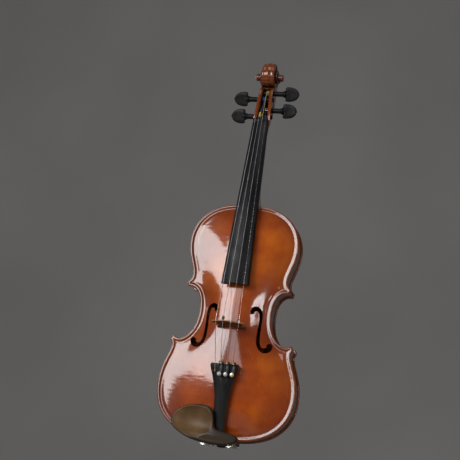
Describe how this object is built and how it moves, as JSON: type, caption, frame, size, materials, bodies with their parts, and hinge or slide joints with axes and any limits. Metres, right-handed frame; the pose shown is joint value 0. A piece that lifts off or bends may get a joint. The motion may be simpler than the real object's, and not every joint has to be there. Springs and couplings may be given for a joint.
{
  "type": "violin",
  "caption": "Full-size acoustic violin with arched plates, four strings, turning pegs, fine tuners and a clamped chin rest.",
  "frame": {"origin": "centre of the end button's flat outer face, at the lower end of the body", "axes": "+Z along the violin towards the scroll, -Y out of the top plate, +X to the treble (E string) side"},
  "size_m": [0.2082, 0.1009, 0.6071],
  "materials": {
    "varnish": "glossy orange-brown varnish over spruce and maple, shaded darker at the edges",
    "dark_varnish": "glossy dark red-brown varnish over flamed maple",
    "bare_spruce": "bare planed spruce",
    "ebony": "satin near-black ebony",
    "bridge_maple": "plain brown maple with a paler worn top edge",
    "chin_rest_wood": "polished dark brown wood, worn paler in the cup",
    "string_steel": "metal-wound and plain steel strings",
    "nickel": "nickel plate",
    "black_cord": "black nylon cord",
    "brown_sleeve": "dark brown plastic sleeve"
  },
  "bodies": {
    "root": {"a_string": "string_steel", "a_tuner_frame": "ebony", "back_plate": "varnish", "bass_bar": "bare_spruce", "bridge": "bridge_maple", "chin_rest": "chin_rest_wood", "chin_rest_stud_bass": "nickel", "chin_rest_stud_treble": "nickel", "d_string": "string_steel", "d_tuner_frame": "ebony", "e_string": "string_steel", "e_tuner_frame": "ebony", "end_button": "ebony", "fingerboard": "ebony", "g_string": "string_steel", "lower_back_lining_bass": "bare_spruce", "lower_back_lining_treble": "bare_spruce", "lower_block": "bare_spruce", "lower_corner_block_bass": "bare_spruce", "lower_corner_block_treble": "bare_spruce", "lower_rib_bass": "dark_varnish", "lower_rib_treble": "dark_varnish", "lower_top_lining_bass": "bare_spruce", "lower_top_lining_treble": "bare_spruce", "middle_back_lining_bass": "bare_spruce", "middle_back_lining_treble": "bare_spruce", "middle_rib_bass": "dark_varnish", "middle_rib_treble": "dark_varnish", "middle_top_lining_bass": "bare_spruce", "middle_top_lining_treble": "bare_spruce", "neck_and_scroll": "varnish", "nut": "ebony", "saddle": "ebony", "sound_post": "bare_spruce", "string_sleeve": "brown_sleeve", "tailgut": "black_cord", "tailpiece": "ebony", "top_plate": "varnish", "upper_back_lining_bass": "bare_spruce", "upper_back_lining_treble": "bare_spruce", "upper_block": "bare_spruce", "upper_corner_block_bass": "bare_spruce", "upper_corner_block_treble": "bare_spruce", "upper_rib_bass": "dark_varnish", "upper_rib_treble": "dark_varnish", "upper_top_lining_bass": "bare_spruce", "upper_top_lining_treble": "bare_spruce"},
    "a_peg": {"a_peg": "ebony"},
    "a_tuner_lever": {"a_tuner_lever": "nickel"},
    "a_tuner_screw": {"a_tuner_screw": "nickel"},
    "chin_rest_barrel_bass": {"chin_rest_barrel_bass": "nickel"},
    "chin_rest_barrel_treble": {"chin_rest_barrel_treble": "nickel"},
    "chin_rest_foot": {"chin_rest_foot": "nickel"},
    "d_peg": {"d_peg": "ebony"},
    "d_tuner_lever": {"d_tuner_lever": "nickel"},
    "d_tuner_screw": {"d_tuner_screw": "nickel"},
    "e_peg": {"e_peg": "ebony"},
    "e_tuner_lever": {"e_tuner_lever": "nickel"},
    "e_tuner_screw": {"e_tuner_screw": "nickel"},
    "g_peg": {"g_peg": "ebony"}
  },
  "joints": [
    {"name": "g_peg_turn", "type": "hinge", "parent": "root", "child": "g_peg", "pos_m": [0, -0.0001, 0.51333], "axis": [1, 0, 0], "range_deg": [-30, 1350]},
    {"name": "d_peg_turn", "type": "hinge", "parent": "root", "child": "d_peg", "pos_m": [0, 0.00301, 0.54317], "axis": [1, 0, 0], "range_deg": [-30, 1350]},
    {"name": "a_peg_turn", "type": "hinge", "parent": "root", "child": "a_peg", "pos_m": [0, 0.00415, 0.55411], "axis": [1, 0, 0], "range_deg": [-30, 1350]},
    {"name": "e_peg_turn", "type": "hinge", "parent": "root", "child": "e_peg", "pos_m": [0, 0.00109, 0.52477], "axis": [1, 0, 0], "range_deg": [-30, 1350]},
    {"name": "d_screw_travel", "type": "slide", "parent": "root", "child": "d_tuner_screw", "axis": [0, 0.9947, 0.1028], "range_m": [-0.0015, 0.0015]},
    {"name": "d_lever_tilt", "type": "hinge", "parent": "root", "child": "d_tuner_lever", "pos_m": [-0.0047, -0.04561, 0.11848], "axis": [1, 0, 0], "range_deg": [-5.1, 5.1]},
    {"name": "a_screw_travel", "type": "slide", "parent": "root", "child": "a_tuner_screw", "axis": [0, 0.9947, 0.1028], "range_m": [-0.0015, 0.0015]},
    {"name": "a_lever_tilt", "type": "hinge", "parent": "root", "child": "a_tuner_lever", "pos_m": [0.0047, -0.04561, 0.11848], "axis": [1, 0, 0], "range_deg": [-5.1, 5.1]},
    {"name": "e_screw_travel", "type": "slide", "parent": "root", "child": "e_tuner_screw", "axis": [0, 0.9947, 0.1028], "range_m": [-0.0015, 0.0015]},
    {"name": "e_lever_tilt", "type": "hinge", "parent": "root", "child": "e_tuner_lever", "pos_m": [0.014, -0.04488, 0.11855], "axis": [1, 0, 0], "range_deg": [-5.1, 5.1]},
    {"name": "foot_release", "type": "slide", "parent": "root", "child": "chin_rest_foot", "axis": [0, 1, 0], "range_m": [0, 0.005]},
    {"name": "barrel_turn_bass", "type": "hinge", "parent": "root", "child": "chin_rest_barrel_bass", "pos_m": [-0.019, -0.0095, 0.004], "axis": [0, 1, 0], "range_deg": [0, 1290]},
    {"name": "barrel_turn_treble", "type": "hinge", "parent": "root", "child": "chin_rest_barrel_treble", "pos_m": [0.019, -0.0095, 0.004], "axis": [0, 1, 0], "range_deg": [0, 1290]}
  ],
  "couplings": [
    {"joint": "d_lever_tilt", "follows": "d_screw_travel", "rad_per_m": 58.82},
    {"joint": "a_lever_tilt", "follows": "a_screw_travel", "rad_per_m": 58.82},
    {"joint": "e_lever_tilt", "follows": "e_screw_travel", "rad_per_m": 58.82},
    {"joint": "barrel_turn_bass", "follows": "foot_release", "rad_per_m": 4488},
    {"joint": "barrel_turn_treble", "follows": "foot_release", "rad_per_m": 4488}
  ]
}
